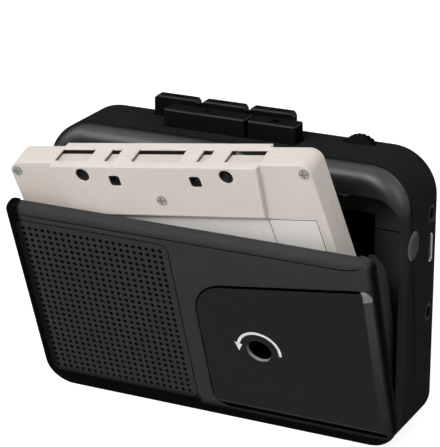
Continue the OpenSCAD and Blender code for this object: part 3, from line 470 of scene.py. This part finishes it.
def case_shine(tree, shine):
    """More polish on the handled upper edges than on the walls, and in the round hollow on the right side."""
    upper_z, edge_up = 40, 0.6
    wall_share, edge_share = 0.1, 1.9
    ball_centre, ball_radius, hollow_gain = Vector((68.8, -6.45, 61.8)) * MM, 10.53 * MM, 0.09
    upper = both(tree, facing(tree, (0, 0, 1)), above(tree, axes_mm(tree)["Z"], upper_z))
    shine = sums(tree, "MULTIPLY", shine, spread(tree, upper, 0.0, edge_up, wall_share, edge_share))
    place = tree.nodes.new("ShaderNodeTexCoord")
    reach = tree.nodes.new("ShaderNodeVectorMath")
    reach.operation = "DISTANCE"
    reach.inputs[1].default_value = ball_centre
    tree.links.new(place.outputs["Object"], reach.inputs[0])
    hollow = sums(tree, "LESS_THAN", reach.outputs["Value"], ball_radius)
    return sums(tree, "ADD", shine, sums(tree, "MULTIPLY", hollow, hollow_gain))


# Finishes

def finish(name, dark, light, edge_colour, rough, grain=2500, sharp=0.5, depth=0.02, radius=0.3, blotch=60, wear=1.2,
           shine=0.5, dull=1.0, metal=0.0, tone=None, polish=None):
    """A moulded, painted or metal finish: two close colours, a colour along the edges, grain and uneven gloss.

    The depth of the grain and the radius of the edges are in millimetres. A surface seen aslant keeps the share
    of its shine that dull says.
    """
    straight, aslant, relief = 0.25, 0.5, 0.6
    mat = bpy.data.materials.new(name)
    mat.use_nodes = True
    tree = mat.node_tree
    shader = tree.nodes["Principled BSDF"]
    shader.inputs["Metallic"].default_value = metal
    hands = use_group(tree, HANDLING, Scale=blotch)
    edges = use_group(tree, EDGES, Radius=radius * MM, Strength=wear)
    texture = use_group(tree, GRAIN, Scale=grain, Sharpness=sharp)
    plain = mix_colour(tree, hands.outputs["Mask"], colour(dark), colour(light))
    plain = mix_colour(tree, edges.outputs["Mask"], plain, colour(edge_colour))
    tree.links.new(tone(tree, plain) if tone else plain, shader.inputs["Base Color"])
    tree.links.new(spread(tree, hands.outputs["Mask"], 0, 1, *rough), shader.inputs["Roughness"])
    slant = tree.nodes.new("ShaderNodeLayerWeight")
    glint = spread(tree, slant.outputs["Facing"], straight, aslant, shine, shine * dull)
    tree.links.new(polish(tree, glint) if polish else glint, shader.inputs["Specular IOR Level"])
    bump = tree.nodes.new("ShaderNodeBump")
    bump.inputs["Strength"].default_value = relief
    bump.inputs["Distance"].default_value = depth * MM
    tree.links.new(texture.outputs["Height"], bump.inputs["Height"])
    tree.links.new(edges.outputs["Normal"], bump.inputs["Normal"])
    tree.links.new(bump.outputs["Normal"], shader.inputs["Normal"])
    return mat


def turned_metal(name, dark, light, edge_colour, rough, **more):
    """Bare metal with a fine, soft grain."""
    return finish(name, dark, light, edge_colour, rough, grain=3500, sharp=0.1, depth=0.008, metal=1.0, **more)


def body_finishes():
    return {
        "case": finish("case_satin_black", dark=grey(36), light=grey(40), edge_colour=grey(52), rough=(0.36, 0.46),
                       shine=0.3, dull=0.0, wear=0.7, tone=crease_tone, polish=case_shine),
        "door": finish("door_matte_black", dark=grey(56), light=grey(60), edge_colour=grey(72), rough=(0.5, 0.6),
                       shine=0.02, dull=0.2, tone=door_tone),
        "holder": finish("holder_black", dark=grey(15), light=grey(19), edge_colour=grey(44), rough=(0.4, 0.5),
                         shine=0.2, dull=0.1),
        "grille": finish("grille_matte_black", dark=grey(51), light=grey(55), edge_colour=grey(55), rough=(0.5, 0.6),
                         radius=0.1, wear=0.0, shine=0.05, dull=0.2, tone=grille_tone),
        "gloss": finish("piano_black", dark=grey(9), light=grey(11), edge_colour=grey(40), rough=(0.05, 0.12), grain=300,
                        sharp=0, depth=0.004, blotch=40, shine=0.12, dull=0.3, tone=panel_tone, polish=panel_shine),
        # The keys' pale edge colour is a painted highlight along their edges.
        "key": finish("key_black", dark=grey(12), light=grey(15), edge_colour=grey(92), rough=(0.14, 0.22), depth=0.008,
                      radius=0.25, wear=2.0, shine=0.08, dull=0.0, tone=key_tone),
        "wheel": finish("wheel_black", dark=grey(15), light=grey(19), edge_colour=grey(30), rough=(0.3, 0.4), radius=0.2,
                        shine=0.1, dull=0.0),
        "socket": finish("socket_black", dark=grey(20), light=grey(24), edge_colour=grey(24), rough=(0.4, 0.5),
                         shine=0.2, dull=0.1),
    }


def works_finishes():
    return {
        # The deck's near-black is partly its own colour and partly painted shade in the well.
        "deck": finish("deck_black_and_painted_shade", dark=grey(2), light=grey(3), edge_colour=grey(8), rough=(0.45, 0.55), shine=0.015,
                       dull=0.0, tone=deck_tone),
        "steel": turned_metal("bright_steel", dark=(176, 178, 180), light=(196, 198, 200), edge_colour=(225, 225, 226),
                              rough=(0.2, 0.34)),
        "brass": turned_metal("turned_brass", dark=(186, 150, 84), light=(204, 170, 102), edge_colour=(226, 200, 140),
                              rough=(0.22, 0.36)),
        "rubber": finish("black_rubber", dark=(24, 24, 25), light=(34, 34, 35), edge_colour=grey(46), rough=(0.7, 0.85),
                         depth=0.03),
        "board": finish("green_board", dark=(22, 74, 46), light=(32, 92, 58), edge_colour=(120, 128, 90),
                        rough=(0.35, 0.5), blotch=400),
        "battery": finish("foil_pack", dark=(150, 152, 156), light=(176, 178, 182), edge_colour=(200, 200, 204),
                          rough=(0.35, 0.5), grain=400, sharp=0.2, depth=0.08, metal=0.7),
        "speaker": finish("paper_cone", dark=(38, 37, 36), light=(50, 49, 47), edge_colour=grey(70), rough=(0.6, 0.8),
                          grain=1200, depth=0.06),
    }


def cassette_finishes():
    return {
        "shell": finish("cassette_beige", dark=(214, 204, 195), light=(220, 211, 203), edge_colour=(232, 226, 220),
                        rough=(0.38, 0.48), grain=1800, depth=0.01, radius=0.4, tone=shell_tone),
        "screw": turned_metal("cassette_screw", dark=(150, 148, 144), light=(172, 170, 166), edge_colour=(26, 24, 22),
                              rough=(0.25, 0.4), radius=0.35, wear=3.0),
        "label": finish("label_paper", dark=(222, 218, 213), light=(229, 225, 220), edge_colour=(234, 231, 227),
                        rough=(0.45, 0.55), grain=4000, depth=0.006),
        "felt": finish("brown_felt", dark=(120, 92, 62), light=(146, 114, 80), edge_colour=(160, 130, 96),
                       rough=(0.85, 0.95), grain=4500, depth=0.1),
        "tape": finish("leader_tape", dark=(204, 194, 184), light=(212, 203, 194), edge_colour=(220, 212, 204),
                       rough=(0.3, 0.4), depth=0.004),
        "reel": finish("reel_white", dark=(222, 222, 220), light=(230, 230, 228), edge_colour=(240, 240, 238),
                       rough=(0.4, 0.5)),
    }


def print_finish(name, dark, light, edge_colour, **more):
    return finish(name, dark, light, edge_colour, rough=(0.4, 0.5), radius=0.03, **more)


NODE_FINISH = {
    "case_front": "case", "case_rear": "case", "deck_plate": "deck", "case_screws": "steel", "motor": "steel",
    "drive_belt": "rubber", "circuit_board": "board", "battery_pack": "battery", "speaker": "speaker",
    "headphone_jack": "socket", "usb_port": "steel", "line_jack": "socket", "mic_capsule": "steel",
    "volume_pot": "key", "capstan_bush": "brass", "locating_pins": "steel", "door_frame": "door",
    "speaker_grille": "grille", "gloss_panel": "gloss", "cassette_holder": "holder", "hinge_pins": "steel",
    "holder_springs": "steel", "cassette_half_front": "shell", "cassette_half_rear": "shell",
    "cassette_screws": "screw", "cassette_label": "label", "pressure_pad": "felt", "tape_run": "tape",
    "supply_reel": "reel", "takeup_reel": "reel", "play_key": "key", "stop_key": "key", "rewind_key": "key",
    "forward_key": "key", "record_key": "key", "volume_wheel": "wheel", "flywheel": "brass",
    "motor_pulley": "brass", "idler_wheel": "reel", "takeup_spindle": "reel", "supply_spindle": "reel",
    "head_slide": "steel", "play_head": "steel", "pinch_arm": "steel", "pinch_roller": "rubber",
}


def dress_nodes(finishes):
    for name, piece in nodes.items():
        for held in piece.material_slots:
            held.material = finishes[NODE_FINISH[name]]


# New pieces

def add_piece(name, bm, mat, body):
    bmesh.ops.recalc_face_normals(bm, faces=bm.faces)
    mesh = bpy.data.meshes.new(name)
    bm.to_mesh(mesh)
    bm.free()
    mesh.materials.append(mat)
    piece = bpy.data.objects.new(name, mesh)
    scene.collection.objects.link(piece)
    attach(piece, body)


def thicken(bm, inward):
    """Gives flat print its thickness, inward from the face that is seen."""
    grown = bmesh.ops.extrude_face_region(bm, geom=bm.faces[:])
    moved = [v for v in grown["geom"] if isinstance(v, bmesh.types.BMVert)]
    bmesh.ops.translate(bm, vec=Vector(inward) * PRINT_THICK * MM, verts=moved)


def turn_arrow(mat):
    """Printed arrow that curves over the reel window."""
    inner_r, outer_r = 6.3, 7.2
    start, sweep, steps = radians(6), radians(172), 44
    head_inner_r, head_outer_r, tip_r = 5.5, 8.0, 6.75
    head_base, head_tip = radians(165), radians(190)
    bm = bmesh.new()
    inner = bm.verts.new(Vector((inner_r, 0, 0)) * MM)
    outer = bm.verts.new(Vector((outer_r, 0, 0)) * MM)
    rim = bm.edges.new((inner, outer))
    bmesh.ops.spin(bm, geom=[inner, outer, rim], cent=(0, 0, 0), axis=(0, -1, 0), angle=sweep, steps=steps,
                   use_merge=False)
    bmesh.ops.rotate(bm, verts=bm.verts, cent=(0, 0, 0), matrix=Matrix.Rotation(start, 3, "Y"))
    head = ((head_inner_r, head_base), (head_outer_r, head_base), (tip_r, head_tip))
    bm.faces.new([bm.verts.new(Vector((r * cos(a), 0, r * sin(a))) * MM) for r, a in head])
    thicken(bm, inward=(0, 1, 0))
    place = DOOR @ Matrix.Translation(Vector((WINDOW_X, PANEL_FACE_Y - PRINT_RISE, WINDOW_Z)) * MM)
    bmesh.ops.transform(bm, matrix=place, verts=bm.verts)
    add_piece("turn_arrow", bm, mat, "door")


def label_box(mat):
    """Thin printed frame on the cassette's label."""
    left, right, low, high, line = 31.8, 47.1, -4.0, 13.4, 0.25
    sides = ((left, left + line, low, high), (right - line, right, low, high))
    ends = ((left + line, right - line, high - line, high), (left + line, right - line, low, low + line))
    bm = bmesh.new()
    for x0, x1, z0, z1 in sides + ends:
        corners = ((x0, z0), (x1, z0), (x1, z1), (x0, z1))
        bm.faces.new([bm.verts.new(Vector((x, 0, z)) * MM) for x, z in corners])
    thicken(bm, inward=(0, 1, 0))
    place = CASSETTE @ Matrix.Translation(Vector((0, LABEL_FACE_Y - PRINT_RISE, 0)) * MM)
    bmesh.ops.transform(bm, matrix=place, verts=bm.verts)
    add_piece("label_box", bm, mat, "cassette")


def flat_mark(points):
    """One flat sign, drawn from above by its corners."""
    return [Vector((x, y, 0)) for x, y in points]


def pointer(x, size, way):
    """Triangle that points left or right."""
    half = size / 2
    return flat_mark(((x - way * half, -half), (x + way * half, 0), (x - way * half, half)))


def square_sign(size):
    half = size / 2
    return flat_mark(((-half, -half), (half, -half), (half, half), (-half, half)))


def disc_sign(size):
    corners = 24
    turns = [2 * pi * k / corners for k in range(corners)]
    return flat_mark([(size / 2 * cos(a), size / 2 * sin(a)) for a in turns])


def key_top(name):
    """Middle of a key's level top."""
    level_band = 0.1 * MM
    corners = [v.co for v in nodes[name].data.vertices]
    top = max(c.z for c in corners)
    across = [c.x for c in corners if c.z > top - level_band]
    along = [c.y for c in corners if c.z > top - level_band]
    return Vector(((min(across) + max(across)) / 2, (min(along) + max(along)) / 2, top))


def key_signs(mat):
    """The usual plain tape signs on the tops of the keys."""
    small, large, apart = 1.6, 2.4, 0.85
    left, right = -1, 1
    signs = {
        "play_key": [pointer(0, large, right)],
        "stop_key": [square_sign(large)],
        "rewind_key": [pointer(-apart, small, left), pointer(apart, small, left)],
        "forward_key": [pointer(-apart, small, right), pointer(apart, small, right)],
        "record_key": [disc_sign(small)],
    }
    for name, marks in signs.items():
        centre = key_top(name) + Vector((0, 0, PRINT_RISE * MM))
        bm = bmesh.new()
        for mark in marks:
            bm.faces.new([bm.verts.new(centre + p * MM) for p in mark])
        thicken(bm, inward=(0, 0, -1))
        add_piece(name.replace("key", "sign"), bm, mat, name)


aim_camera()
light_studio()
light_world()
lay_floor()
dress_nodes({**body_finishes(), **works_finishes(), **cassette_finishes()})
turn_arrow(print_finish("white_print", dark=grey(242), light=grey(248), edge_colour=grey(250)))
label_box(print_finish("grey_print", dark=(70, 67, 64), light=(78, 75, 72), edge_colour=(84, 82, 80)))
key_signs(print_finish("dark_print", dark=grey(3), light=grey(5), edge_colour=grey(6), shine=0.02, dull=0.0))

scene.view_settings.view_transform = "Standard"
